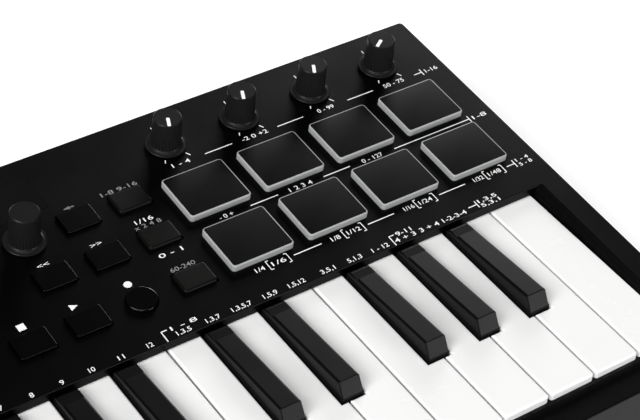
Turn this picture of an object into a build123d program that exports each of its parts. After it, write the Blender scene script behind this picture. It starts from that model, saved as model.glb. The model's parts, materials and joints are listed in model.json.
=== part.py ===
"""Compact 25-key MIDI keyboard controller: sloped control panel, mini keys, pads, knobs and buttons.

Millimetres. +X runs along the keys to the right, +Y to the rear edge, +Z up.
The origin is on the surface that the feet stand on, under the middle of the case.
"""

from build123d import *
import math
import os

# ---------------------------------------------------------------- driving dimensions
WHITE_PITCH = 19.2
WHITE_COUNT = 15
KEY_SIDE_GAP = 0.8
WHITE_TOP_Z = 33.0
WHITE_PLATE = 3.0
WHITE_REACH = 80.1
WHITE_EDGE_R = 0.8
WHITE_CORNER_R = 1.2
KEYS_HALF = WHITE_PITCH * WHITE_COUNT / 2

BLACK_WIDTH = 8.7
BLACK_BASE_WIDTH = 8.2
BLACK_TOP_WIDTH = 8.0
BLACK_REACH = 48.0
BLACK_BASE_REACH = 47.7
BLACK_TOP_REACH = 44.7
BLACK_FOOT = 0.9
BLACK_RISE_FRONT = 6.2
BLACK_RISE_REAR = 2.8
BLACK_REAR_GAP = 0.6
BLACK_CLEARANCE = 0.45
BLACK_RIDGE_R = 0.8
BLACK_CORNER_R = 0.35
BLACK_BACK_R = 2.4
# centre of each black key, measured from the left side of its octave,
# against the number of the white key on its left
BLACK_CENTRES = {0: 17.7, 1: 40.2, 3: 74.8, 4: 96.2, 5: 117.65}
OCTAVE = 7 * WHITE_PITCH

CASE_DEPTH = 191.0
CASE_HALF_REAR = 156.3
CASE_HALF_FRONT = 157.05
CASE_EDGE_R = 0.5
CASE_CORNER_R = 1.6
CASE_WALL = 2.4
CASE_UNDERSIDE_Z = 1.8
CASE_SPLIT_Z = 14.0
FLOOR = 2.2
SEAM = 0.6
LIP_EDGE_R = 0.6
CHEEK_EDGE_R = 4.4
EDGE_CREASE = 0.08
BAR_EDGE_R = 0.6
PANEL_TILT = 3.27
PANEL_SKIN = 2.5
LIP_Y = CASE_DEPTH / 2 - 98.75
LIP_DROP = 3.9
LIP_THICKNESS = 2.2
FRONT_BAR_DROP = 3.3
FRONT_BAR_GAP = 1.0
KEY_WELL_HALF = KEYS_HALF + 0.3

# the pads set the zero of the panel's own plan: X right, Y up the slope, Z out of the panel
PAD_ZERO_X = 25.95
PAD_ZERO_ABOVE_LIP = 43.45
PAD_SIZE = (25.0, 21.0)
PAD_PITCH = (31.24, 27.1)
PAD_HEIGHT = 2.15
PAD_CORNER = 1.5
PAD_EDGE_R = 0.5
WINDOW_CLEARANCE = 0.3

BUTTON_SIZE = (13.2, 9.7)
BUTTON_HEIGHT = 0.9
BUTTON_CORNER = 0.9
BUTTON_EDGE_R = 0.4
SOFT_BUTTON_HEIGHT = 1.1
SOFT_BUTTON_CORNER = 1.3
SOFT_BUTTON_EDGE_R = 0.9
BUTTON_COLUMNS = {"outer": -73.7, "left": -53.5, "middle": -33.3, "right": -13.0}
BUTTON_ROWS = {"top": 19.4, "centre": -0.5, "bottom": -23.2}
BUTTONS = {
    "back_button": ("middle", "top"),
    "pad_bank_button": ("right", "top"),
    "rewind_button": ("left", "centre"),
    "forward_button": ("middle", "centre"),
    "note_repeat_button": ("right", "centre"),
    "stop_button": ("outer", "bottom"),
    "play_button": ("left", "bottom"),
    "tempo_button": ("right", "bottom"),
}
RECORD_PLACE = (-33.6, -23.5)
RECORD_RADIUS = 5.5
RECORD_HEIGHT = 1.2
CAP_FLANGE = 0.8
SOFT_BUTTONS = ("pad_bank_button", "note_repeat_button", "tempo_button")

KNOB_FIRST = (12.4, 37.6)
KNOB_COUNT = 4
KNOB_FLANGE_R = 7.5
KNOB_FLANGE_TOP = 1.2
KNOB_BODY_R = 5.5
KNOB_TOP_R = 5.2
KNOB_TOP_CHAMFER = 0.35
KNOB_HEIGHT = 13.6
KNOB_FLARE_R = 1.4
KNOB_GAP = 0.5
KNOB_RIBS = 28
KNOB_GROOVE_R = 0.38
KNOB_GROOVE_BOTTOM = 1.9
KNOB_BORE_TOP = 8.5
POINTER_WIDTH = 1.3
POINTER_DEPTH = 0.25
# direction of each knob's pointer as found, from the panel's X
POINTER_ANGLES = (247.0, 246.0, 242.0, 214.0)
ENCODER_PLACE = (-54.4, 18.5)
ENCODER_HEIGHT = 14.5
SHAFT_R = 3.0
SHAFT_CLEARANCE = 0.08

DISPLAY_SIZE = (31.0, 17.4)
DISPLAY_PLACE = (-54.65, 38.1)
DISPLAY_THICKNESS = 1.0
DISPLAY_CORNER = 0.5

WHEEL_R = 17.0
WHEEL_WIDTH = 7.6
WHEEL_EDGE_R = 1.2
WHEEL_NOTCH_R = 3.4
WHEEL_NOTCH_DEPTH = 1.8
WHEEL_SINK = 10.5
WHEEL_PLACES = {"pitch_wheel": (-148.0, 18.0), "modulation_wheel": (-118.0, 18.0)}
MODULATION_REST = 40.0
ROCKER_PLACE = (-133.0, -20.0)
ROCKER_SIZE = (24.0, 10.2)
ROCKER_PIN_DEPTH = 3.5
ROCKER_PIN_R = 0.9
ROCKER_SADDLE_R = 13.0
WHEEL_AXLE_R = 2.0

# depths below the panel's face, along its normal
FLANGE_TOP = PANEL_SKIN + 0.1
BOARD_TOP = 4.9
BOARD_THICKNESS = 1.6
POT_DEPTH = 6.0

PIVOT_Y = LIP_Y + 32.0
PIVOT_Z = 27.3
ROD_R = 1.5
HUB_R = 3.2
TAIL_WIDTH = 6.5
TAIL_BOTTOM_Z = 26.0
TAIL_TOP_Z = 30.1
FRAME_TOP_Z = 16.5
FRAME_THICKNESS = 2.0

SCREW_R = 1.25
BOSS_R = 3.3
FOOT_R = 6.0
JACK_Z = 27.0
# round rear sockets: nose radius, bore radius and depth behind the wall
JACKS = (("pedal", 4.8, 3.25, 22.0), ("midi", 3.2, 1.85, 14.0))

# ---------------------------------------------------------------- derived places
TILT = math.radians(PANEL_TILT)
LIP_Z = WHITE_TOP_Z + LIP_DROP
FRONT_Y = -CASE_DEPTH / 2
REAR_Y = CASE_DEPTH / 2
KEY_FRONT_Y = LIP_Y - WHITE_REACH
WELL_FRONT_Y = KEY_FRONT_Y - FRONT_BAR_GAP
FRONT_BAR_Z = WHITE_TOP_Z - FRONT_BAR_DROP
PANEL_ORIGIN = (
    PAD_ZERO_X,
    LIP_Y + PAD_ZERO_ABOVE_LIP * math.cos(TILT),
    LIP_Z + PAD_ZERO_ABOVE_LIP * math.sin(TILT),
)
PANEL = Location(PANEL_ORIGIN, (PANEL_TILT, 0, 0))
FLANGE_BOTTOM = FLANGE_TOP + 0.7


def panel_z(y):
    """Height of the panel's outer face at a depth in the case."""
    return LIP_Z + (y - LIP_Y) * math.tan(TILT)


def block(x0, x1, y0, y1, z0, z1):
    """Box between two corners."""
    return Pos((x0 + x1) / 2, (y0 + y1) / 2, (z0 + z1) / 2) * Box(x1 - x0, y1 - y0, z1 - z0)


def rod_along_x(x0, x1, y, z, radius):
    """Round bar along X."""
    return Pos((x0 + x1) / 2, y, z) * Rot(0, 90, 0) * Cylinder(radius, x1 - x0)


def post(x, y, z0, z1, radius):
    """Upright round bar."""
    return Pos(x, y, (z0 + z1) / 2) * Cylinder(radius, z1 - z0)


def plate(width, depth, z0, z1, corner=0.0):
    """Flat plate centred on the axis, with rounded upright corners."""
    outline = RectangleRounded(width, depth, corner) if corner else Rectangle(width, depth)
    return Pos(0, 0, z0) * extrude(outline, z1 - z0)


def on_panel(shape, place):
    """Put a shape made about the panel's normal at a place on the panel."""
    return PANEL * Pos(place[0], place[1], 0) * shape


def top_edges(shape):
    """Edges round the highest flat face."""
    return shape.faces().sort_by(Axis.Z)[-1].edges()


# ---------------------------------------------------------------- keys
def black_centres():
    """Centres of the black keys from left to right, with the white key on the left of each."""
    found = []
    for white in range(WHITE_COUNT - 1):
        octave, note = divmod(white, 7)
        if note in BLACK_CENTRES:
            found.append((white, -KEYS_HALF + octave * OCTAVE + BLACK_CENTRES[note]))
    return found


def white_sides(index):
    """Left and right side of a white key at the front, and of its neck between the black keys."""
    left = -KEYS_HALF + index * WHITE_PITCH + KEY_SIDE_GAP / 2
    right = left + WHITE_PITCH - KEY_SIDE_GAP
    neck_left, neck_right = left, right
    reach = BLACK_WIDTH / 2 + BLACK_CLEARANCE
    for white, centre in black_centres():
        if white == index:
            neck_right = centre - reach
        if white == index - 1:
            neck_left = centre + reach
    return left, right, neck_left, neck_right


def key_tail(x, front_y):
    """Stiffening bar under a key that runs back to its hub on the hinge rod."""
    bar = block(x - TAIL_WIDTH / 2, x + TAIL_WIDTH / 2, front_y, PIVOT_Y, TAIL_BOTTOM_Z, TAIL_TOP_Z)
    hub = rod_along_x(x - TAIL_WIDTH / 2, x + TAIL_WIDTH / 2, PIVOT_Y, PIVOT_Z, HUB_R)
    bore = rod_along_x(x - TAIL_WIDTH, x + TAIL_WIDTH, PIVOT_Y, PIVOT_Z, ROD_R + SHAFT_CLEARANCE)
    return bar + hub - bore


def white_key(index):
    """Flat white key, cut away beside the black keys, with rounded upper edges."""
    left, right, neck_left, neck_right = white_sides(index)
    shoulder = LIP_Y - BLACK_REACH - BLACK_CLEARANCE
    rear = LIP_Y + 4.0
    outline = [(left, KEY_FRONT_Y), (right, KEY_FRONT_Y)]
    if neck_right < right:
        outline += [(right, shoulder), (neck_right, shoulder)]
    outline += [(neck_right, rear), (neck_left, rear)]
    if neck_left > left:
        outline += [(neck_left, shoulder), (left, shoulder)]
    top = Pos(0, 0, WHITE_TOP_Z - WHITE_PLATE) * extrude(Polygon(*outline, align=None), WHITE_PLATE)
    front_corners = top.edges().filter_by(Axis.Z).group_by(Axis.Y)[0]
    top = fillet(front_corners, WHITE_CORNER_R)
    top = fillet(top_edges(top), WHITE_EDGE_R)
    return top + key_tail((neck_left + neck_right) / 2, KEY_FRONT_Y + 5.0)


def level_quad(centre, half, front, rear, front_z, rear_z):
    """Four-sided face across a key, level from side to side, between a front and a rear height."""
    corners = [(-half, front, front_z), (half, front, front_z), (half, rear, rear_z), (-half, rear, rear_z)]
    return Face(Wire.make_polygon([(centre + x, y, z) for x, y, z in corners]))


def black_crown(centre):
    """Upper part of a black key: steep sides, sloping front and softly rounded ridges."""
    rear = LIP_Y - BLACK_REAR_GAP
    foot_z = WHITE_TOP_Z + BLACK_FOOT
    front_z, rear_z = WHITE_TOP_Z + BLACK_RISE_FRONT, WHITE_TOP_Z + BLACK_RISE_REAR
    base = level_quad(centre, BLACK_BASE_WIDTH / 2, LIP_Y - BLACK_BASE_REACH, rear, foot_z, foot_z)
    top = level_quad(centre, BLACK_TOP_WIDTH / 2, LIP_Y - BLACK_TOP_REACH, rear, front_z, rear_z)
    crown = loft([base, top], ruled=True)
    ridges = [e for e in top_edges(crown) if abs(e.center().X - centre) > 1.0]
    crown = fillet(ridges, BLACK_RIDGE_R)
    corners = [e for e in crown.edges() if e.center().Y < LIP_Y - BLACK_TOP_REACH + 0.5]
    return fillet([e for e in corners if e.center().Z > foot_z + 0.1], BLACK_CORNER_R)


def black_key(centre):
    """Raised black key: low foot and crown, rounded down at the back before the lip."""
    front = LIP_Y - BLACK_REACH
    rear = LIP_Y - BLACK_REAR_GAP
    half = BLACK_WIDTH / 2
    foot_z = WHITE_TOP_Z + BLACK_FOOT
    foot = block(centre - half, centre + half, front, rear, TAIL_TOP_Z - 1.0, foot_z)
    foot = fillet(foot.edges().filter_by(Axis.Z), 0.5)
    foot = fillet(top_edges(foot), 0.2)
    body = foot + black_crown(centre)
    above = block(centre - half - 1, centre + half + 1, rear - 6.0, rear + 1.0, 0.0, 80.0)
    back_top = WHITE_TOP_Z + BLACK_RISE_REAR + 0.1
    below = block(centre - half - 1, centre + half + 1, rear - 8.0, rear, 0.0, back_top)
    below = fillet(below.edges().filter_by(Axis.X).group_by(Axis.Z)[-1].sort_by(Axis.Y)[-1], BLACK_BACK_R)
    return body - (above - below) + key_tail(centre, front + 8.0)


def make_keys():
    """Every key as its own node, numbered from the left."""
    keys = {f"white_key_{i + 1:02d}": white_key(i) for i in range(WHITE_COUNT)}
    for number, (_, centre) in enumerate(black_centres()):
        keys[f"black_key_{number + 1:02d}"] = black_key(centre)
    return keys


# ---------------------------------------------------------------- pads, buttons and knobs
def capped_block(size, height, corner, edge_r):
    """Cap that stands out of a window in the panel and is kept in by a flange behind it."""
    cap = plate(size[0], size[1], -FLANGE_BOTTOM, height, corner)
    cap = fillet(top_edges(cap), edge_r)
    flange_size = (size[0] + 2 * CAP_FLANGE, size[1] + 2 * CAP_FLANGE)
    return cap + plate(*flange_size, -FLANGE_BOTTOM, -FLANGE_TOP, corner)


def pad_places():
    """Centres of the pads, rear row first, from left to right."""
    middle = (PAD_SIZE[0] / 2, PAD_SIZE[1] / 2)
    return [
        (middle[0] + column * PAD_PITCH[0], middle[1] - row * PAD_PITCH[1])
        for row in range(2)
        for column in range(4)
    ]


def button_places():
    """Place of each rectangular button by name."""
    return {name: (BUTTON_COLUMNS[c], BUTTON_ROWS[r]) for name, (c, r) in BUTTONS.items()}


def knob_places():
    """Centres of the knobs from left to right."""
    return [(KNOB_FIRST[0] + i * PAD_PITCH[0], KNOB_FIRST[1]) for i in range(KNOB_COUNT)]


def record_button():
    """Round button with the same flange behind the panel."""
    cap = Pos(0, 0, -FLANGE_BOTTOM) * extrude(Circle(RECORD_RADIUS), FLANGE_BOTTOM + RECORD_HEIGHT)
    cap = fillet(top_edges(cap), BUTTON_EDGE_R)
    flange = Pos(0, 0, -FLANGE_BOTTOM) * extrude(Circle(RECORD_RADIUS + CAP_FLANGE), FLANGE_BOTTOM - FLANGE_TOP)
    return cap + flange


def knob_cap(height):
    """Ribbed knob: a thin round flange, a short flare, and a fluted body that hardly tapers."""
    rim = KNOB_FLANGE_R - 0.2
    flare_foot = KNOB_BODY_R + KNOB_FLARE_R
    flare_top = KNOB_FLANGE_TOP + KNOB_FLARE_R
    flare_middle = (flare_foot - KNOB_FLARE_R * math.sqrt(0.5), flare_top - KNOB_FLARE_R * math.sqrt(0.5))
    with BuildSketch(Plane.XZ) as half:
        with BuildLine():
            Polyline((0, KNOB_GAP), (rim, KNOB_GAP), (KNOB_FLANGE_R, KNOB_GAP + 0.2),
                     (KNOB_FLANGE_R, KNOB_FLANGE_TOP - 0.2), (rim, KNOB_FLANGE_TOP), (flare_foot, KNOB_FLANGE_TOP))
            ThreePointArc((flare_foot, KNOB_FLANGE_TOP), flare_middle, (KNOB_BODY_R, flare_top))
            Polyline((KNOB_BODY_R, flare_top), (KNOB_TOP_R, height - KNOB_TOP_CHAMFER),
                     (KNOB_TOP_R - KNOB_TOP_CHAMFER, height), (0, height), (0, KNOB_GAP))
        make_face()
    body = revolve(half.sketch, Axis.Z)
    groove = Cylinder(KNOB_GROOVE_R, height)
    groove = Pos(KNOB_BODY_R + 0.1, 0, KNOB_GROOVE_BOTTOM + height / 2) * groove
    for i in range(KNOB_RIBS):
        body -= Rot(0, 0, (i + 0.5) * 360 / KNOB_RIBS) * groove
    return body - Pos(0, 0, KNOB_BORE_TOP / 2) * Cylinder(SHAFT_R, KNOB_BORE_TOP)


def knob_shaft():
    """Metal shaft pressed into the knob, reaching down into its control behind the board."""
    bottom = -BOARD_TOP - BOARD_THICKNESS - POT_DEPTH + 1.5
    return Pos(0, 0, (bottom + KNOB_BORE_TOP) / 2) * Cylinder(SHAFT_R, KNOB_BORE_TOP - bottom)


def knob(place, pointer_angle):
    """Knob with its shaft; the pointer groove on top lies at an angle from the panel's X."""
    length = KNOB_TOP_R - 0.8
    groove = Pos(0.5 + length / 2, 0, KNOB_HEIGHT) * Box(length, POINTER_WIDTH, 2 * POINTER_DEPTH)
    cap = Rot(0, 0, pointer_angle) * (knob_cap(KNOB_HEIGHT) - groove)
    return Compound([on_panel(cap, place), on_panel(knob_shaft(), place)])


def encoder():
    """Endless encoder: a taller knob without a pointer."""
    parts = [knob_cap(ENCODER_HEIGHT), knob_shaft()]
    return Compound([on_panel(part, ENCODER_PLACE) for part in parts])


def display_window():
    """Glossy cover plate of the display, flush with the panel."""
    cover = plate(DISPLAY_SIZE[0] - 0.2, DISPLAY_SIZE[1] - 0.2, -DISPLAY_THICKNESS, 0.0, DISPLAY_CORNER)
    return on_panel(cover, DISPLAY_PLACE)


def wheel(place, notch_turn):
    """Thumb wheel on stub axles, with a finger notch turned towards the player by an angle."""
    tyre = Rot(0, 90, 0) * Cylinder(WHEEL_R, WHEEL_WIDTH)
    tyre = fillet(tyre.edges().filter_by(GeomType.CIRCLE), WHEEL_EDGE_R)
    axle = Rot(0, 90, 0) * Cylinder(WHEEL_AXLE_R, WHEEL_WIDTH + 6.0)
    notch = Rot(0, 90, 0) * Cylinder(WHEEL_NOTCH_R, WHEEL_WIDTH - 2.0)
    notch = Pos(0, 0, WHEEL_R + WHEEL_NOTCH_R - WHEEL_NOTCH_DEPTH) * notch
    return on_panel(Pos(0, 0, -WHEEL_SINK) * Rot(notch_turn, 0, 0) * (tyre + axle - notch), place)


def octave_rocker():
    """Two-way rocker that tilts left or right about a pin behind the panel."""
    cap = plate(ROCKER_SIZE[0], ROCKER_SIZE[1], -ROCKER_PIN_DEPTH - 0.4, BUTTON_HEIGHT, 1.0)
    cap = fillet(top_edges(cap), 0.4)
    saddle = Rot(90, 0, 0) * Cylinder(ROCKER_SADDLE_R, ROCKER_SIZE[1] * 2)
    saddle = Pos(0, 0, BUTTON_HEIGHT + ROCKER_SADDLE_R - 0.3) * saddle
    pin = Pos(0, 0, -ROCKER_PIN_DEPTH) * Rot(90, 0, 0) * Cylinder(ROCKER_PIN_R, ROCKER_SIZE[1] + 3.0)
    return on_panel(cap - saddle + pin, ROCKER_PLACE)


def make_controls():
    """Pads, buttons, knobs, encoder, wheels and rocker, each as its own node."""
    nodes = {}
    pad = capped_block(PAD_SIZE, PAD_HEIGHT, PAD_CORNER, PAD_EDGE_R)
    for number, place in enumerate(pad_places()):
        nodes[f"pad_{number + 1}"] = on_panel(pad, place)
    hard = capped_block(BUTTON_SIZE, BUTTON_HEIGHT, BUTTON_CORNER, BUTTON_EDGE_R)
    soft = capped_block(BUTTON_SIZE, SOFT_BUTTON_HEIGHT, SOFT_BUTTON_CORNER, SOFT_BUTTON_EDGE_R)
    for name, place in button_places().items():
        nodes[name] = on_panel(soft if name in SOFT_BUTTONS else hard, place)
    nodes["record_button"] = on_panel(record_button(), RECORD_PLACE)
    for number, (place, angle) in enumerate(zip(knob_places(), POINTER_ANGLES)):
        nodes[f"knob_{number + 1}"] = knob(place, angle)
    nodes["encoder_knob"] = encoder()
    nodes["pitch_wheel"] = wheel(WHEEL_PLACES["pitch_wheel"], 0.0)
    nodes["modulation_wheel"] = wheel(WHEEL_PLACES["modulation_wheel"], MODULATION_REST)
    nodes["octave_rocker"] = octave_rocker()
    return nodes


# ---------------------------------------------------------------- case
def case_plan(inset, z0, z1):
    """Plan of the case, a little wider at the front, as an upright block."""
    rear, front = CASE_HALF_REAR - inset, CASE_HALF_FRONT - inset
    back_y, front_y = REAR_Y - inset, FRONT_Y + inset
    outline = Polygon((-front, front_y), (front, front_y), (rear, back_y), (-rear, back_y), align=None)
    outline = fillet(outline.vertices(), max(CASE_CORNER_R - inset / 2, 0.6))
    return Pos(0, 0, z0) * extrude(outline, z1 - z0)


def seam_groove():
    """Narrow groove round the case where its two shells meet."""
    ring = case_plan(-1.0, CASE_SPLIT_Z - SEAM / 2, CASE_SPLIT_Z + SEAM / 2)
    return ring - case_plan(SEAM, 0.0, 60.0)


def under_panel(y0, y1, z0, skin, half):
    """Block whose top runs parallel to the panel, a skin's thickness below its face."""
    drop = skin / math.cos(TILT)
    side = Polygon((y0, z0), (y1, z0), (y1, panel_z(y1) - drop), (y0, panel_z(y0) - drop), align=None)
    return extrude(Plane.YZ * side, half, both=True)


def screw_places():
    """Case screws: rear row, middle of the sides and front row."""
    rear = [(x, REAR_Y - 6.2) for x in (-146.0, -50.0, 54.0, 146.0)]
    sides = [(x, LIP_Y - 14.0) for x in (-149.6, 149.6)]
    front = [(x, FRONT_Y + 6.2) for x in (-149.6, -50.0, 50.0, 149.6)]
    return rear + sides + front


def socket_places():
    """Rear sockets: name to sideways place."""
    return {"usb": -132.0, "pedal": -104.0, "midi": -80.0}


def panel_windows():
    """Everything that is cut through the panel for the controls."""
    grow = 2 * WINDOW_CLEARANCE
    window = plate(PAD_SIZE[0] + grow, PAD_SIZE[1] + grow, -8.0, 2.0, PAD_CORNER)
    cuts = [on_panel(window, place) for place in pad_places()]
    window = plate(BUTTON_SIZE[0] + grow, BUTTON_SIZE[1] + grow, -8.0, 2.0, BUTTON_CORNER)
    cuts += [on_panel(window, place) for place in button_places().values()]
    cuts.append(on_panel(Cylinder(RECORD_RADIUS + WINDOW_CLEARANCE, 12.0), RECORD_PLACE))
    cuts += [on_panel(Cylinder(SHAFT_R + 0.6, 12.0), p) for p in knob_places() + [ENCODER_PLACE]]
    recess = plate(*DISPLAY_SIZE, -DISPLAY_THICKNESS, 2.0, DISPLAY_CORNER)
    through = plate(DISPLAY_SIZE[0] - 3.0, DISPLAY_SIZE[1] - 3.0, -8.0, 2.0, DISPLAY_CORNER)
    cuts.append(on_panel(recess + through, DISPLAY_PLACE))
    slot = plate(WHEEL_WIDTH + 1.0, 32.0, -8.0, 2.0, 1.0)
    cuts += [on_panel(slot, place) for place in WHEEL_PLACES.values()]
    rocker = plate(ROCKER_SIZE[0] + 0.8, ROCKER_SIZE[1] + 0.8, -8.0, 2.0, 1.2)
    cuts.append(on_panel(rocker, ROCKER_PLACE))
    return cuts


def board_pillar_places():
    """Pillars behind the panel that carry the main board, in the panel's plan."""
    return [(-82.0, 34.0), (-82.0, -33.0), (-3.0, 10.0), (-3.0, -33.0), (122.5, 10.0), (122.5, -33.0)]


def top_case():
    """Upper shell: panel, lip over the keys, cheeks beside them and the bar in front of them."""
    shell = case_plan(0, CASE_SPLIT_Z, 60.0) & under_panel(-120.0, 120.0, 0.0, 0.0, 200.0)
    shell = fillet(top_edges(shell), CASE_EDGE_R)
    hollow = case_plan(CASE_WALL, 0.0, 60.0)
    rear_room = hollow & under_panel(LIP_Y + LIP_THICKNESS, 120.0, 0.0, PANEL_SKIN, 200.0)
    cheek_room = hollow & under_panel(-120.0, LIP_Y + 10.0, 0.0, PANEL_SKIN, 200.0)
    middle = KEY_WELL_HALF + 1.8
    cheek_room -= block(-middle, middle, -120.0, LIP_Y + LIP_THICKNESS, -5.0, 60.0)
    front_room = hollow & block(-middle - 1, middle + 1, -120.0, WELL_FRONT_Y - 1.6, 0.0, FRONT_BAR_Z - 2.2)
    well = block(-KEY_WELL_HALF, KEY_WELL_HALF, WELL_FRONT_Y, LIP_Y, 0.0, 60.0)
    under_lip = block(-KEY_WELL_HALF, KEY_WELL_HALF, LIP_Y - 5, LIP_Y + 12, 0.0, WHITE_TOP_Z + 0.5)
    lowered = block(-KEY_WELL_HALF, KEY_WELL_HALF, -120.0, LIP_Y - 30, FRONT_BAR_Z, 60.0)
    shell = shell - well - lowered
    shell = fillet(bar_front(shell), BAR_EDGE_R)
    shell = shell - lip_rounding() - cheek_rounding(1) - cheek_rounding(-1)
    shell = shell - rear_room - cheek_room - front_room - under_lip - seam_groove()
    for x, y in screw_places():
        reach = panel_z(y) - 1.2 if y > LIP_Y or abs(x) > KEY_WELL_HALF else FRONT_BAR_Z - 1.0
        shell += post(x, y, CASE_SPLIT_Z, reach, BOSS_R) & case_plan(0.5, 0.0, 60.0)
        shell -= post(x, y, 0.0, CASE_SPLIT_Z + 12.0, SCREW_R + 0.05)
    pillar = Pos(0, 0, -(BOARD_TOP + 1.0) / 2) * Cylinder(2.0, BOARD_TOP - 1.0)
    for place in board_pillar_places():
        shell += on_panel(pillar, place)
    for cut in panel_windows():
        shell -= cut
    for name, x in socket_places().items():
        shell -= socket_hole(name, x)
    return shell


def bar_front(shell):
    """Front upper edge of the low bar."""
    level = [edge for edge in shell.edges() if abs(edge.center().Z - FRONT_BAR_Z) < 0.01]
    return [edge for edge in level if edge.center().Y < FRONT_Y + 0.1]


def rounded_off(radius, length):
    """What is rounded off an edge along Y, its corner at the origin and solid towards +X and -Z."""
    centre_z = EDGE_CREASE - radius
    waste = block(-1.0, radius, -length / 2, length / 2, centre_z, 2.0)
    return waste - Pos(radius, 0, centre_z) * Rot(90, 0, 0) * Cylinder(radius, length + 2.0)


def lip_rounding():
    """What is rounded off the upper edge of the lip, into the start of the cheeks' own rounding."""
    length = 2 * KEY_WELL_HALF + CHEEK_EDGE_R
    return Pos(0, LIP_Y, LIP_Z) * Rot(0, 0, 90) * rounded_off(LIP_EDGE_R, length)


def cheek_rounding(side):
    """What is rounded off the upper inner edge of one cheek, from the lip to the front of the case."""
    turn = 0 if side > 0 else 180
    place = (side * KEY_WELL_HALF - PAD_ZERO_X, -PAD_ZERO_ABOVE_LIP - CASE_DEPTH / 2)
    waste = on_panel(Rot(0, 0, turn) * rounded_off(CHEEK_EDGE_R, CASE_DEPTH), place)
    return waste & block(-200.0, 200.0, -120.0, LIP_Y, FRONT_BAR_Z, 60.0)


def socket_hole(name, x):
    """Hole in the rear wall for one socket."""
    if name == "usb":
        return block(x - 6.0, x + 6.0, REAR_Y - 6.0, REAR_Y + 1.0, JACK_Z - 3.5, JACK_Z + 3.5)
    radius = {jack: nose_r + 0.2 for jack, nose_r, _, _ in JACKS}[name]
    return Pos(x, REAR_Y - 3.0, JACK_Z) * Rot(90, 0, 0) * Cylinder(radius, 10.0)


def bottom_case():
    """Lower tray with its screw bosses, pillars for the key frame and bearings for the wheels."""
    tray = case_plan(0, CASE_UNDERSIDE_Z, CASE_SPLIT_Z)
    tray = chamfer(tray.faces().sort_by(Axis.Z)[0].edges(), 1.2)
    tray -= case_plan(CASE_WALL, CASE_UNDERSIDE_Z + FLOOR, 60.0) + seam_groove()
    floor_top = CASE_UNDERSIDE_Z + FLOOR
    for x, y in screw_places():
        tray += post(x, y, floor_top - 0.5, CASE_SPLIT_Z, BOSS_R) & case_plan(0.5, 0.0, 60.0)
        tray -= post(x, y, 0.0, 60.0, SCREW_R + 0.35)
        tray -= post(x, y, 0.0, CASE_UNDERSIDE_Z + 3.0, 2.9)
    frame_bottom = FRAME_TOP_Z - FRAME_THICKNESS
    for x in (-120.0, 0.0, 120.0):
        for y in (-72.0, -30.0, 24.0):
            tray += post(x, y, floor_top - 0.5, frame_bottom, 4.0)
    for place in WHEEL_PLACES.values():
        tray += wheel_bearing(place, floor_top)
    for x in (-140.0, -72.0):
        tray += post(x, REAR_Y - 16.0, floor_top - 0.5, JACK_Z - 9.6, 3.0)
    for x, y in foot_places():
        tray -= post(x, y, 0.0, CASE_UNDERSIDE_Z + 0.6, FOOT_R)
    return tray


def wheel_bearing(place, floor_top):
    """Two uprights with open notches that carry a wheel's stub axles."""
    centre = (PANEL * Pos(place[0], place[1], -WHEEL_SINK)).position
    inner, outer = WHEEL_WIDTH / 2 + 0.8, WHEEL_WIDTH / 2 + 2.6
    bore = WHEEL_AXLE_R + SHAFT_CLEARANCE
    uprights = None
    for x0, x1 in ((centre.X - outer, centre.X - inner), (centre.X + inner, centre.X + outer)):
        wall = block(x0, x1, centre.Y - 5.0, centre.Y + 5.0, floor_top - 0.5, centre.Z + 2.0)
        wall -= rod_along_x(x0 - 1, x1 + 1, centre.Y, centre.Z, bore)
        wall -= block(x0 - 1, x1 + 1, centre.Y - bore, centre.Y + bore, centre.Z, centre.Z + 5.0)
        uprights = wall if uprights is None else uprights + wall
    return uprights


def foot_places():
    """Rubber feet near the corners."""
    return [(x, y) for x in (-136.0, 136.0) for y in (-78.0, 78.0)]


def rubber_feet():
    """Four feet set into round recesses."""
    foot = Cylinder(FOOT_R - 0.2, CASE_UNDERSIDE_Z + 0.6)
    foot = fillet(foot.edges().filter_by(GeomType.CIRCLE).sort_by(Axis.Z)[0], 0.5)
    return [Pos(x, y, (CASE_UNDERSIDE_Z + 0.6) / 2) * foot for x, y in foot_places()]


def case_screws():
    """Self-tapping screws, heads up in their counterbores."""
    seat = CASE_UNDERSIDE_Z + 3.0
    screws = []
    for x, y in screw_places():
        head = post(x, y, seat - 1.8, seat, 2.6)
        cross = block(x - 1.5, x + 1.5, y - 0.3, y + 0.3, 0, seat - 0.9)
        cross += block(x - 0.3, x + 0.3, y - 1.5, y + 1.5, 0, seat - 0.9)
        screws.append(head + post(x, y, seat, CASE_SPLIT_Z + 10.0, SCREW_R) - cross)
    return screws


# ---------------------------------------------------------------- inside
def hinge_ribs():
    """Sideways places of the ribs that carry the hinge rod, between the key tails."""
    ribs = [-KEYS_HALF + octave * OCTAVE + k * WHITE_PITCH for octave in range(2) for k in (0, 3)]
    return ribs + [KEYS_HALF - WHITE_PITCH, KEYS_HALF]


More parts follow.
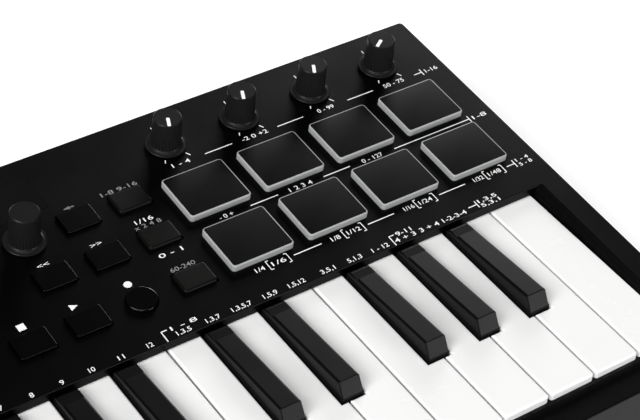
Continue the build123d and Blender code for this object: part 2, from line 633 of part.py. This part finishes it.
def key_frame():
    """Moulded bed under the keys, with a front stop rail and ribs for the steel hinge rod."""
    rear = PIVOT_Y + 5.0
    bed_bottom = FRAME_TOP_Z - FRAME_THICKNESS
    bed = block(-KEYS_HALF, KEYS_HALF, KEY_FRONT_Y + 2.0, rear, bed_bottom, FRAME_TOP_Z)
    bed += block(-KEYS_HALF, KEYS_HALF, KEY_FRONT_Y + 4.0, KEY_FRONT_Y + 10.0, FRAME_TOP_Z, 22.0)
    for x in hinge_ribs():
        edge = 1.0 if abs(x) < KEYS_HALF - 1 else 0.0
        inward = -math.copysign(2.0, x)
        x0, x1 = (x - edge, x + edge) if edge else sorted((x, x + inward))
        rib = block(x0, x1, PIVOT_Y - 8.0, rear, FRAME_TOP_Z, PIVOT_Z + 2.6)
        bed += rib - rod_along_x(x0 - 1, x1 + 1, PIVOT_Y, PIVOT_Z, ROD_R + 0.02)
    rod = rod_along_x(-KEYS_HALF + 0.2, KEYS_HALF - 0.2, PIVOT_Y, PIVOT_Z, ROD_R)
    return [bed, rod]


def circuit_boards():
    """Main board behind the panel with its switches, and the contact board under the keys."""
    board = block(-88.0, 127.0, -36.0, 44.0, -BOARD_TOP - BOARD_THICKNESS, -BOARD_TOP)
    for x, y in knob_places() + [ENCODER_PLACE]:
        board -= Pos(x, y, -BOARD_TOP) * Cylinder(3.9, 6.0)
    solids = [PANEL * board]
    switch = plate(4.5, 4.5, -BOARD_TOP, -BOARD_TOP + 0.6)
    for place in list(button_places().values()) + [RECORD_PLACE]:
        solids.append(on_panel(switch, place))
    screen = plate(26.0, 11.0, -BOARD_TOP, -PANEL_SKIN + 0.2)
    solids.append(on_panel(screen, DISPLAY_PLACE))
    contact_top = FRAME_TOP_Z + BOARD_THICKNESS
    solids.append(block(-KEYS_HALF + 2, KEYS_HALF - 2, -24.0, 0.0, FRAME_TOP_Z, contact_top))
    return solids


def contact_strips():
    """Rubber contact strips under the keys, with one dome for each key."""
    base = FRAME_TOP_Z + BOARD_THICKNESS
    strip = block(-KEYS_HALF + 4, KEYS_HALF - 4, -20.0, -6.0, base, base + 1.2)
    centres = [x for _, x in black_centres()]
    for i in range(WHITE_COUNT):
        _, _, neck_left, neck_right = white_sides(i)
        centres.append((neck_left + neck_right) / 2)
    for x in centres:
        strip += Pos(x, -13.0, base + 1.2 + 2.5) * Cone(3.6, 2.4, 5.0)
    return strip


def potentiometers():
    """Rotary controls under the main board, each with a sleeve up towards the panel."""
    top = -BOARD_TOP - BOARD_THICKNESS
    body = plate(9.6, 9.6, top - POT_DEPTH, top, 0.5)
    body += Pos(0, 0, (top - 3.4) / 2) * Cylinder(3.7, -3.4 - top)
    bore_bottom = top - POT_DEPTH + 1.2
    body -= Pos(0, 0, bore_bottom / 2) * Cylinder(SHAFT_R + SHAFT_CLEARANCE, -bore_bottom)
    return [on_panel(body, place) for place in knob_places() + [ENCODER_PLACE]]


def rear_sockets():
    """Small board on pillars with the USB, pedal and MIDI sockets that face the rear."""
    board_top = JACK_Z - 8.0
    wall = REAR_Y - CASE_WALL
    board = block(-141.0, -68.0, wall - 20.0, wall - 2.0, board_top - 1.6, board_top)
    places = socket_places()
    usb = places["usb"]
    shell = block(usb - 4.5, usb + 4.5, wall - 9.0, REAR_Y - 1.0, JACK_Z - 1.7, JACK_Z + 1.7)
    shell = fillet(shell.edges().filter_by(Axis.Y), 1.5)
    shell -= block(usb - 4.1, usb + 4.1, wall - 6.0, REAR_Y, JACK_Z - 1.3, JACK_Z + 1.3)
    shell += block(usb - 3.3, usb + 3.3, wall - 6.5, REAR_Y - 1.8, JACK_Z - 0.35, JACK_Z + 0.35)
    shell += block(usb - 5.0, usb + 5.0, wall - 12.0, wall - 4.0, board_top, JACK_Z - 1.5)
    solids = [board, shell]
    for name, nose_r, bore_r, depth in JACKS:
        x = places[name]
        width = nose_r + 1.4
        body = block(x - width, x + width, wall - depth, wall - 0.3, board_top, JACK_Z + width)
        nose = Rot(90, 0, 0) * Cylinder(nose_r, CASE_WALL + 0.9)
        body += Pos(x, (wall + REAR_Y) / 2 - 0.6, JACK_Z) * nose
        body -= Pos(x, REAR_Y, JACK_Z) * Rot(90, 0, 0) * Cylinder(bore_r, 2 * (depth + CASE_WALL - 2.0))
        solids.append(body)
    return solids


def save(name, shape):
    """Write one node; a list is a group of separate solids."""
    if isinstance(shape, list):
        shape = Compound(shape)
    export_step(shape, f"parts/{name}.step")


def main():
    os.makedirs("parts", exist_ok=True)
    nodes = {
        "top_case": top_case(),
        "bottom_case": bottom_case(),
        "rubber_feet": rubber_feet(),
        "case_screws": case_screws(),
        "key_frame": key_frame(),
        "circuit_boards": circuit_boards(),
        "contact_strips": contact_strips(),
        "potentiometers": potentiometers(),
        "rear_sockets": rear_sockets(),
        "display_window": display_window(),
    }
    nodes.update(make_keys())
    nodes.update(make_controls())
    for name, shape in nodes.items():
        save(name, shape)


main()
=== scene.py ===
"""Looks of the MIDI keyboard controller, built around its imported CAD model.

Lengths are millimetres on the panel's own plan. Where a name ends in _m or _M they are metres, in the
frame that the model was packed in.
"""

import json
import math

import bmesh
import bpy
from mathutils import Matrix, Vector


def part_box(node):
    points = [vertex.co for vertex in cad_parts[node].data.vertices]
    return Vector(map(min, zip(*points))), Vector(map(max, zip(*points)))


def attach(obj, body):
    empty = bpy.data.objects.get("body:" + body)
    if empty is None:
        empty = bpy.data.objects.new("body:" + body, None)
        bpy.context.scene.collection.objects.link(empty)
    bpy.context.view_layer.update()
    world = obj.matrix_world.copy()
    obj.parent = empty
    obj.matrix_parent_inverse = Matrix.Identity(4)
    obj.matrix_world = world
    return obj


MM = 0.001

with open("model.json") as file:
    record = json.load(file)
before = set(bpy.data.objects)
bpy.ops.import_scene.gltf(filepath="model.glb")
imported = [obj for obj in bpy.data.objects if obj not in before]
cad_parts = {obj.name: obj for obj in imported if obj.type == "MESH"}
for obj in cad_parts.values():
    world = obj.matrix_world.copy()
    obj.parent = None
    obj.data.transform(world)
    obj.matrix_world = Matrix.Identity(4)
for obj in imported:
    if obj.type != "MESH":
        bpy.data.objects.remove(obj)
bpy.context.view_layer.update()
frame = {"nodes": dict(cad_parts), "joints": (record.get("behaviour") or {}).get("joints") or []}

# ---------------------------------------------------------------- the panel's own plan
JOINTS = {joint["name"]: joint for joint in frame["joints"]}
KNOB_PITCH = 31.24
KNOB_ROW = (12.4, 37.6)
KNOB_SCALE_Y = 38.3
PAD_SIZE = (25.0, 21.0)
PAD_PITCH = (31.24, 27.1)
PAD_HEIGHT = 2.15
KNOB_HEIGHT = 13.6
KNOB_TOP_R = 5.2
POINTER_ANGLES = (247.0, 246.0, 242.0, 214.0)

# ---------------------------------------------------------------- how print and relief are made
PRINT_THICKNESS = 0.03
LINE_WIDTH = 0.38
MARK_WIDTH = 0.36
THIN_WIDTH = 0.32
SIGN_WIDTH = 0.45
CAPITAL_HEIGHT = 0.73  # of the typeface, as a share of its size
LETTER_SWELL = 0.004  # added to a letter's outline, as a share of its height
GRAIN_DEPTH = 0.05
SHARP_DEGREES = 35


def panel_frame():
    """Matrix from the panel's plan, in metres, to the row frame: X right, Y up the slope, Z out."""
    joint = JOINTS["knob_1_turn"]
    normal = Vector(joint["axis"]).normalized()
    across = Vector((1.0, 0.0, 0.0))
    up_slope = normal.cross(across)
    zero = Vector(joint["pos_m"]) - across * KNOB_ROW[0] * MM - up_slope * KNOB_ROW[1] * MM
    matrix = Matrix((across, up_slope, normal)).transposed().to_4x4()
    matrix.translation = zero
    return matrix


PANEL = panel_frame()


def on_panel(x, y, z=0.0):
    """Matrix that puts a shape made in millimetres at a place on the panel."""
    return PANEL @ Matrix.Translation(Vector((x, y, z)) * MM) @ Matrix.Diagonal((MM, MM, MM, 1.0))


# ---------------------------------------------------------------- materials
def new_material(name):
    """Empty node material with its shader, its output and object coordinates."""
    material = bpy.data.materials.new(name)
    material.use_nodes = True
    tree = material.node_tree
    tree.nodes.clear()
    output = tree.nodes.new("ShaderNodeOutputMaterial")
    shader = tree.nodes.new("ShaderNodeBsdfPrincipled")
    tree.links.new(shader.outputs["BSDF"], output.inputs["Surface"])
    coordinates = tree.nodes.new("ShaderNodeTexCoord")
    return material, tree, shader, coordinates.outputs["Object"]


def noise(tree, where, scale, detail=3.0, roughness=0.55):
    """Noise texture with features of about 1/scale metres."""
    node = tree.nodes.new("ShaderNodeTexNoise")
    node.inputs["Scale"].default_value = scale
    node.inputs["Detail"].default_value = detail
    node.inputs["Roughness"].default_value = roughness
    tree.links.new(where, node.inputs["Vector"])
    return node.outputs["Fac"]


def spread(tree, factor, low, high):
    """Map a 0 to 1 factor to a range."""
    node = tree.nodes.new("ShaderNodeMapRange")
    node.inputs["From Min"].default_value = 0.25
    node.inputs["From Max"].default_value = 0.75
    node.inputs["To Min"].default_value = low
    node.inputs["To Max"].default_value = high
    tree.links.new(factor, node.inputs["Value"])
    return node.outputs["Result"]


def blend_colors(tree, factor, first, second):
    """Colour between two, by a factor."""
    node = tree.nodes.new("ShaderNodeMix")
    node.data_type = "RGBA"
    node.inputs["A"].default_value = (*first, 1.0)
    node.inputs["B"].default_value = (*second, 1.0)
    tree.links.new(factor, node.inputs["Factor"])
    return node.outputs["Result"]


def moulded(name, color, roughness, grain=0.0, grain_size=0.35, variation=0.12, smudge=0.05,
            specular=0.5, metallic=0.0, subsurface=0.0):
    """Moulded surface: fine grain in relief, slight mottling of colour and uneven gloss."""
    material, tree, shader, where = new_material(name)
    mottle = noise(tree, where, 60.0, 4.0)
    dark = tuple(channel * (1.0 - variation) for channel in color)
    light = tuple(min(1.0, channel * (1.0 + variation)) for channel in color)
    tree.links.new(blend_colors(tree, mottle, dark, light), shader.inputs["Base Color"])
    handling = noise(tree, where, 22.0, 5.0, 0.6)
    gloss = spread(tree, handling, roughness - smudge, roughness + smudge)
    tree.links.new(gloss, shader.inputs["Roughness"])
    if grain:
        relief = noise(tree, where, 1.0 / (grain_size * MM), 2.0, 0.5)
        bump = tree.nodes.new("ShaderNodeBump")
        bump.inputs["Strength"].default_value = grain
        bump.inputs["Distance"].default_value = GRAIN_DEPTH * MM
        tree.links.new(relief, bump.inputs["Height"])
        tree.links.new(bump.outputs["Normal"], shader.inputs["Normal"])
    shader.inputs["Specular IOR Level"].default_value = specular
    shader.inputs["Metallic"].default_value = metallic
    if subsurface:
        shader.inputs["Subsurface Weight"].default_value = subsurface
        shader.inputs["Subsurface Radius"].default_value = (0.8 * MM, 0.8 * MM, 0.7 * MM)
    return material


def make_materials():
    """Every finish on the object, by name."""
    return {
        "case": moulded("case_black", (0.0004, 0.0005, 0.0004), 0.33, 0.3, 0.3, specular=0.083),
        "white_key": moulded("key_white", (0.71, 0.71, 0.705), 0.26, 0.03, 2.0, 0.01, 0.03,
                             specular=0.3),
        "black_key": moulded("key_black", (0.0018, 0.0019, 0.0021), 0.34, 0.2, 0.25,
                             specular=0.085),
        "rim": moulded("pad_rim_milky", (0.3, 0.305, 0.305), 0.45, 0.1, 0.5, 0.03, specular=0.3,
                       subsurface=0.25),
        "pad": moulded("pad_face_black", (0.0024, 0.0024, 0.0024), 0.42, 0.5, 0.4, specular=0.055),
        "button": moulded("button_black", (0.0003, 0.0004, 0.0003), 0.3, 0.2, 0.25, specular=0.075),
        "soft_button": moulded("button_brown_black", (0.0022, 0.0019, 0.0017), 0.42, 0.3, 0.3,
                               specular=0.08),
        "record": moulded("button_gloss_black", (0.0008, 0.0008, 0.0008), 0.16, 0.0, specular=0.25),
        "knob": moulded("knob_black", (0.0078, 0.0078, 0.0078), 0.3, 0.15, 0.25, specular=0.09),
        "wheel": moulded("wheel_rubber", (0.005, 0.005, 0.005), 0.6, 0.4, 0.4),
        "display": moulded("display_gloss", (0.004, 0.004, 0.0043), 0.12, 0.0, specular=0.4),
        "print": moulded("print_white", (0.74, 0.74, 0.74), 0.5, 0.1, 0.2, 0.04),
        "print_grey": moulded("print_grey", (0.2, 0.2, 0.195), 0.5, 0.1, 0.2, 0.04),
        "foot": moulded("foot_rubber", (0.012, 0.012, 0.012), 0.75, 0.5, 0.5),
        "steel": moulded("screw_zinc", (0.35, 0.35, 0.36), 0.35, 0.2, 0.4, metallic=1.0),
        "socket": moulded("socket_black", (0.008, 0.008, 0.008), 0.4, 0.2, 0.3),
        "inner": moulded("inner_grey", (0.2, 0.2, 0.195), 0.55, 0.2, 0.5),
        "board": moulded("board_green", (0.015, 0.08, 0.04), 0.4, 0.1, 0.4),
        "contact": moulded("contact_rubber", (0.3, 0.3, 0.29), 0.6, 0.2, 0.5),
    }


MATERIALS = make_materials()


def finish_cad_nodes():
    """Give every carried-over CAD node its finish."""
    by_name = {
        "top_case": "case", "bottom_case": "case", "display_window": "display", "rubber_feet": "foot",
        "case_screws": "steel", "rear_sockets": "socket", "key_frame": "inner", "circuit_boards": "board",
        "contact_strips": "contact", "potentiometers": "inner", "record_button": "record",
        "pad_bank_button": "soft_button", "note_repeat_button": "soft_button",
        "tempo_button": "soft_button", "octave_rocker": "button", "encoder_knob": "knob",
        "pitch_wheel": "wheel", "modulation_wheel": "wheel",
    }
    by_start = {"white_key": "white_key", "black_key": "black_key", "pad_": "rim", "knob_": "knob"}
    for name, node in frame["nodes"].items():
        finish = by_name.get(name)
        if finish is None:
            finish = next((slot for start, slot in by_start.items() if name.startswith(start)), "button")
        node.data.materials.clear()
        node.data.materials.append(MATERIALS[finish])


# ---------------------------------------------------------------- mesh helpers
def add_object(name, mesh, finish, body):
    """Put a finished mesh in the scene as a piece that rides on a body."""
    mesh.materials.clear()
    mesh.materials.append(MATERIALS[finish])
    piece = bpy.data.objects.new(name, mesh)
    bpy.context.scene.collection.objects.link(piece)
    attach(piece, body)
    return piece


def rounded_outline(width, depth, corner, steps=6):
    """Points of a rectangle with round corners, anticlockwise."""
    points = []
    for i, (sx, sy) in enumerate(((1, -1), (1, 1), (-1, 1), (-1, -1))):
        centre = Vector((sx * (width / 2 - corner), sy * (depth / 2 - corner)))
        for step in range(steps + 1):
            turn = math.radians(-90 + 90 * i + 90 * step / steps)
            points.append(centre + corner * Vector((math.cos(turn), math.sin(turn))))
    return points


def cushion_plate(width, depth, corner, z_low, z_high, edge, steps=5):
    """Rounded flat plate whose upper edge is turned over."""
    bm = bmesh.new()
    rings = [(0.0, z_low)]
    for step in range(steps + 1):
        turn = math.radians(90 * step / steps)
        rings.append((edge * (1 - math.cos(turn)), z_high - edge + edge * math.sin(turn)))
    loops = []
    for inset, z in rings:
        outline = rounded_outline(width - 2 * inset, depth - 2 * inset, max(corner - inset, 0.05))
        loops.append([bm.verts.new((p.x, p.y, z)) for p in outline])
    for lower, upper in zip(loops, loops[1:]):
        for i in range(len(lower)):
            j = (i + 1) % len(lower)
            bm.faces.new((lower[i], lower[j], upper[j], upper[i]))
    bm.faces.new(loops[-1])
    bm.faces.new(list(reversed(loops[0])))
    return bm


def mesh_from(bm, name, matrix):
    """Close a bmesh into a smooth-shaded mesh placed by a matrix."""
    mesh = bpy.data.meshes.new(name)
    bmesh.ops.recalc_face_normals(bm, faces=bm.faces)
    bm.to_mesh(mesh)
    bm.free()
    mesh.transform(matrix)
    for polygon in mesh.polygons:
        polygon.use_smooth = True
    mesh.set_sharp_from_angle(angle=math.radians(SHARP_DEGREES))
    return mesh


# ---------------------------------------------------------------- printed legends
class Print:
    """Flat print on the panel: text, bars and simple shapes gathered in one mesh."""

    def __init__(self):
        self.bm = bmesh.new()

    def text(self, words, x, y, height=2.0, stretch=1.38, width=None):
        """Centred line of text; a width squeezes or stretches it to fit."""
        curve = bpy.data.curves.new("line_of_text", "FONT")
        curve.body = words
        curve.align_x = "CENTER"
        curve.size = height / CAPITAL_HEIGHT
        curve.offset = LETTER_SWELL * height
        curve.extrude = PRINT_THICKNESS / 2
        curve.resolution_u = 4
        holder = bpy.data.objects.new("line_of_text", curve)
        mesh = bpy.data.meshes.new_from_object(holder)
        spans = [vertex.co.x for vertex in mesh.vertices]
        if width:
            stretch = width / (max(spans) - min(spans))
        middle = (max(spans) + min(spans)) / 2
        fit = Matrix.Translation((x - middle * stretch, y - height / 2, PRINT_THICKNESS / 2))
        mesh.transform(fit @ Matrix.Diagonal((stretch, 1.0, 1.0, 1.0)))
        self.bm.from_mesh(mesh)
        bpy.data.objects.remove(holder)
        bpy.data.meshes.remove(mesh)
        bpy.data.curves.remove(curve)

    def polygon(self, points):
        """Solid flat shape from its outline, anticlockwise."""
        low = [self.bm.verts.new((px, py, 0.0)) for px, py in points]
        high = [self.bm.verts.new((px, py, PRINT_THICKNESS)) for px, py in points]
        self.bm.faces.new(high)
        self.bm.faces.new(list(reversed(low)))
        for i in range(len(points)):
            j = (i + 1) % len(points)
            self.bm.faces.new((low[i], low[j], high[j], high[i]))

    def bar(self, x0, y0, x1, y1, width=LINE_WIDTH):
        """Straight line of a given width."""
        along = Vector((x1 - x0, y1 - y0)).normalized() * width / 2
        side = Vector((-along.y, along.x))
        start, end = Vector((x0, y0)), Vector((x1, y1))
        self.polygon([start + side, start - side, end - side, end + side])

    def disc(self, x, y, radius, sides=24):
        """Filled circle."""
        turns = [2 * math.pi * i / sides for i in range(sides)]
        self.polygon([(x + radius * math.cos(t), y + radius * math.sin(t)) for t in turns])

    def finish(self, name, ink="print"):
        """Turn the print into a piece on the case."""
        mesh = mesh_from(self.bm, name, on_panel(0.0, 0.0))
        return add_object(name, mesh, ink, "case")


COLUMN_X = [KNOB_ROW[0] + KNOB_PITCH * i for i in range(4)]
LINE_SPANS = ((22.5, 34.0), (53.6, 65.0), (84.9, 96.6), (115.9, 119.5))
LONG_LINE_SPANS = ((22.5, 34.0), (53.6, 65.0), (84.9, 119.5))
END_MARK_X = 119.5
KNOB_MARKS = ((240.5, 1.5), (299.5, 2.0))  # direction in degrees, length
KNOB_MARK_R = 8.6


def knob_legends():
    """Scale marks round each knob and a numbered row under the knobs."""
    art = Print()
    for x in COLUMN_X:
        for turn, length in KNOB_MARKS:
            direction = Vector((math.cos(math.radians(turn)), math.sin(math.radians(turn))))
            start = Vector((x, KNOB_SCALE_Y)) + direction * KNOB_MARK_R
            end = start + direction * length
            art.bar(*start, *end, MARK_WIDTH)
        art.bar(x - 0.1, KNOB_SCALE_Y + 8.1, x - 0.1, KNOB_SCALE_Y + 9.7, MARK_WIDTH)
    row = 27.1
    ranges, widths = ("1 - 4", "-2 0 +2", "0 - 99", "50 - 75"), (7.3, 10.9, 7.1, 9.2)
    for x, words, width in zip(COLUMN_X, ranges, widths):
        art.text(words, x, row, width=width)
    for left, right in LINE_SPANS:
        art.bar(left, row, right, row)
    art.bar(END_MARK_X, row - 1.7, END_MARK_X, row + 1.7)
    art.text("1-16", 123.8, row, width=5.6)
    art.finish("legend_knobs")


def pad_legends():
    """Row between the pads and the row of note lengths in front of them."""
    art = Print()
    row = -2.93
    for x, words, width in zip(COLUMN_X, ("- 0 +", "1 2 3 4", "0 - 127"), (5.7, 9.7, 9.0)):
        art.text(words, x, row, width=width)
    for left, right in LONG_LINE_SPANS:
        art.bar(left, row, right, row)
    art.bar(END_MARK_X, row - 1.7, END_MARK_X, row + 1.7)
    art.text("1-8", 124.1, row, width=6.2)
    row = -30.27
    notes = (("1/4", "1/6"), ("1/8", "1/12"), ("1/16", "1/24"), ("1/32", "1/48"))
    for i, (whole, third) in enumerate(notes):
        centre = COLUMN_X[i] + 1.25
        width = 3.7 if i < 2 else 4.3
        art.text(whole, centre - 6.9 + width / 2, row, width=width)
        left, right = centre - 1.6, centre + 6.8
        for x, inward in ((left, 1.0), (right, -1.0)):
            art.bar(x, row - 2.1, x, row + 2.1, THIN_WIDTH)
            art.bar(x, row + 2.1, x + inward, row + 2.1, THIN_WIDTH)
            art.bar(x, row - 2.1, x + inward, row - 2.1, THIN_WIDTH)
        art.text(third, (left + right) / 2, row, width=5.6)
    for left, right in LINE_SPANS:
        art.bar(left, row, right, row)
    art.bar(END_MARK_X, row - 1.9, END_MARK_X, row + 1.9)
    art.text("1 - 4", 123.7, row + 1.2, 1.7, width=5.6)
    art.text("5 - 8", 123.7, row - 1.2, 1.7, width=5.6)
    art.finish("legend_pads")


def button_legends():
    """Numbers and transport signs beside the buttons, some of them in a dimmer ink."""
    dim = Print()
    dim.text("<", -34.2, 26.0, width=2.4)
    dim.bar(-34.8, 26.0, -31.4, 26.0)
    dim.text("1-8 9-16", -13.7, 26.0, width=14.3)
    dim.text("x 2 4 8", -13.7, 6.2, width=10.4)
    dim.text("60-240", -13.6, -16.5, width=9.5)
    dim.finish("legend_buttons_dim", "print_grey")
    art = Print()
    art.text("1/16", -13.8, 8.7, width=7.0)
    art.text("0 - 1", -13.7, -9.0, width=9.2)
    for x, sign in ((-54.2, "<<"), (-34.0, ">>")):
        art.text(sign, x, 6.3, 1.9, width=4.3)
    art.polygon([(-55.8, -16.5), (-53.0, -15.1), (-55.8, -13.7)])
    art.disc(-34.0, -15.0, 1.45)
    art.polygon([(-75.0, -16.3), (-72.2, -16.3), (-72.2, -13.5), (-75.0, -13.5)])
    art.finish("legend_buttons")


def key_legends():
    """Row along the lip: a number over each key and brackets round the groups."""
    art = Print()
    row, number_pitch = -41.5, 10.75
    for i in range(12):
        x = -41.2 - number_pitch * i
        art.text(str(12 - i), x, row, width=2.2 if 12 - i > 9 else 1.4)
    art.bar(-35.3, -43.2, -35.3, -38.6)
    art.bar(-35.3, -38.6, -33.2, -38.6)
    art.text("1 - 8", -26.9, -38.8, 1.8, width=10.0)
    voicings = ("1,3,5", "1,3,7", "1,3,5,7", "1,5,9", "1,5,12", "3,5,1", "5,1,3", "1 - 12")
    places = (-28.4, -17.2, -6.0, 5.35, 16.0, 28.85, 40.0, 50.85)
    widths = (5.4, 5.4, 7.6, 5.5, 6.6, 5.7, 5.8, 6.9)
    for words, x, width in zip(voicings, places, widths):
        art.text(words, x, row, width=width)
    art.bar(56.5, -43.4, 56.5, -38.8)
    art.bar(56.5, -38.8, 58.6, -38.8)
    art.text("9-11", 62.6, -39.0, width=6.4)
    for words, x, width in (("4 + 3", 61.6, 8.8), ("3 + 4", 72.1, 8.2), ("1-2-3-4", 83.2, 10.4)):
        art.text(words, x, row, width=width)
    art.bar(90.2, -40.7, 94.0, -40.7)
    art.bar(94.0, -42.3, 94.0, -39.0)
    art.text("1,3,5", 99.2, -39.7, 1.75, width=8.2)
    art.text("5,3,1", 99.2, -42.0, 1.75, width=8.2)
    art.finish("legend_keys")


def left_legends():
    """Scale marks beside the wheels and signs over the rocker."""
    art = Print()
    for wheel in ("pitch_wheel", "modulation_wheel"):
        low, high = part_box(wheel)
        middle = PANEL.inverted() @ ((low + high) / 2)
        x, y = middle.x / MM, middle.y / MM
        for step in range(-2, 3):
            length = 2.2 if step % 2 else 3.4
            art.bar(x + 7.2, y + step * 6.0, x + 7.2 + length, y + step * 6.0, THIN_WIDTH)
    low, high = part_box("octave_rocker")
    middle = PANEL.inverted() @ ((low + high) / 2)
    x, y = middle.x / MM, middle.y / MM + 8.4
    art.bar(x - 9.2, y, x - 6.6, y, SIGN_WIDTH)
    art.bar(x + 6.6, y, x + 9.2, y, SIGN_WIDTH)
    art.bar(x + 7.9, y - 1.3, x + 7.9, y + 1.3, SIGN_WIDTH)
    art.text("8", x, y)
    art.finish("legend_left")


# ---------------------------------------------------------------- pieces on the moving parts
def pad_faces():
    """Black face of each pad, set a little inside the milky rim and standing just proud of it."""
    inset, proud, sunk, corner, edge = 0.45, 0.05, 0.3, 1.0, 0.22
    for number in range(8):
        row, column = divmod(number, 4)
        x = PAD_SIZE[0] / 2 + PAD_PITCH[0] * column
        y = PAD_SIZE[1] / 2 - PAD_PITCH[1] * row
        bm = cushion_plate(PAD_SIZE[0] - 2 * inset, PAD_SIZE[1] - 2 * inset, corner,
                           PAD_HEIGHT - sunk, PAD_HEIGHT + proud, edge)
        mesh = mesh_from(bm, f"pad_face_{number + 1}", on_panel(x, y))
        add_object(f"pad_face_{number + 1}", mesh, "pad", f"pad_{number + 1}")


def knob_pointers():
    """White bar let into the top of each knob."""
    start, width, corner = 0.5, 1.28, 0.35
    sunk, proud, edge = 0.24, 0.06, 0.08
    length = KNOB_TOP_R - 0.95
    off_centre = Matrix.Translation((start + length / 2, 0.0, 0.0))
    for number, (x, angle) in enumerate(zip(COLUMN_X, POINTER_ANGLES)):
        bm = cushion_plate(length, width, corner, KNOB_HEIGHT - sunk, KNOB_HEIGHT + proud, edge)
        place = on_panel(x, KNOB_ROW[1]) @ Matrix.Rotation(math.radians(angle), 4, "Z")
        mesh = mesh_from(bm, f"pointer_{number + 1}", place @ off_centre)
        add_object(f"pointer_{number + 1}", mesh, "print", f"knob_{number + 1}")


# ---------------------------------------------------------------- stage, light and camera
FLOOR_SIZE_M = 6.0
FLOOR_GLOW = 0.2
WORLD_STRENGTH = 0.04


def add_floor():
    """Plain pale floor that glows a little, as a white table lit from below does."""
    bpy.ops.mesh.primitive_plane_add(size=FLOOR_SIZE_M)
    floor = bpy.context.object
    floor.name = "floor"
    material, tree, shader, where = new_material("floor_pale")
    shade = blend_colors(tree, noise(tree, where, 3.0), (0.93, 0.93, 0.93), (0.95, 0.95, 0.95))
    tree.links.new(shade, shader.inputs["Base Color"])
    shader.inputs["Roughness"].default_value = 0.9
    shader.inputs["Emission Strength"].default_value = FLOOR_GLOW
    floor.data.materials.append(material)


def add_softbox(name, place_m, size_m, power, aim_m=(0.0, 0.0, 0.03)):
    """Rectangular area light aimed at a point; power in watts."""
    data = bpy.data.lights.new(name, "AREA")
    data.shape = "RECTANGLE"
    data.size, data.size_y = size_m
    data.energy = power
    light = bpy.data.objects.new(name, data)
    light.location = place_m
    light.rotation_euler = (Vector(aim_m) - Vector(place_m)).to_track_quat("-Z", "Y").to_euler()
    bpy.context.scene.collection.objects.link(light)


def add_lights():
    """Strong soft light from the left, a weaker one from above, and small ones in front and behind."""
    add_softbox("key_light", (-2.4, -0.5, 1.8), (1.8, 1.8), 100.0)
    add_softbox("top_light", (-0.5, -0.4, 3.4), (2.4, 2.4), 55.0)
    add_softbox("front_left_light", (-1.3, -1.9, 1.1), (1.2, 0.5), 20.0)
    add_softbox("front_right_light", (1.16, -2.1, 0.5), (1.1, 0.6), 30.0)
    add_softbox("back_light", (1.6, 1.7, 0.7), (1.0, 0.9), 32.0)
    world = bpy.data.worlds.new("studio")
    world.use_nodes = True
    background = world.node_tree.nodes["Background"]
    background.inputs["Color"].default_value = (1.0, 1.0, 1.0, 1.0)
    background.inputs["Strength"].default_value = WORLD_STRENGTH
    bpy.context.scene.world = world
    bpy.context.scene.view_settings.view_transform = "Standard"


CAMERA_TARGET = (42.83, -16.32)
CAMERA_DISTANCE_M = 0.68522
CAMERA_AZIMUTH = 38.136
CAMERA_ELEVATION = 41.465
CAMERA_ROLL = 5.395
CAMERA_LENS = 110.17


def add_camera():
    """Long lens from the front left, looking down over the pads, slightly rolled."""
    azimuth, elevation = math.radians(CAMERA_AZIMUTH), math.radians(CAMERA_ELEVATION)
    forward = Vector((math.sin(azimuth) * math.cos(elevation),
                      math.cos(azimuth) * math.cos(elevation), -math.sin(elevation)))
    level = forward.cross(Vector((0.0, 0.0, 1.0))).normalized()
    raised = level.cross(forward)
    roll = math.radians(CAMERA_ROLL)
    right = level * math.cos(roll) + raised * math.sin(roll)
    up = right.cross(forward)
    data = bpy.data.cameras.new("camera")
    data.sensor_width = 36.0
    data.lens = CAMERA_LENS
    data.clip_start = 0.01
    camera = bpy.data.objects.new("camera", data)
    matrix = Matrix((right, up, -forward)).transposed().to_4x4()
    target = on_panel(*CAMERA_TARGET).translation
    matrix.translation = target - forward * CAMERA_DISTANCE_M
    camera.matrix_world = matrix
    bpy.context.scene.collection.objects.link(camera)
    bpy.context.scene.camera = camera


add_camera()
finish_cad_nodes()
pad_faces()
knob_pointers()
knob_legends()
pad_legends()
button_legends()
key_legends()
left_legends()
add_floor()
add_lights()
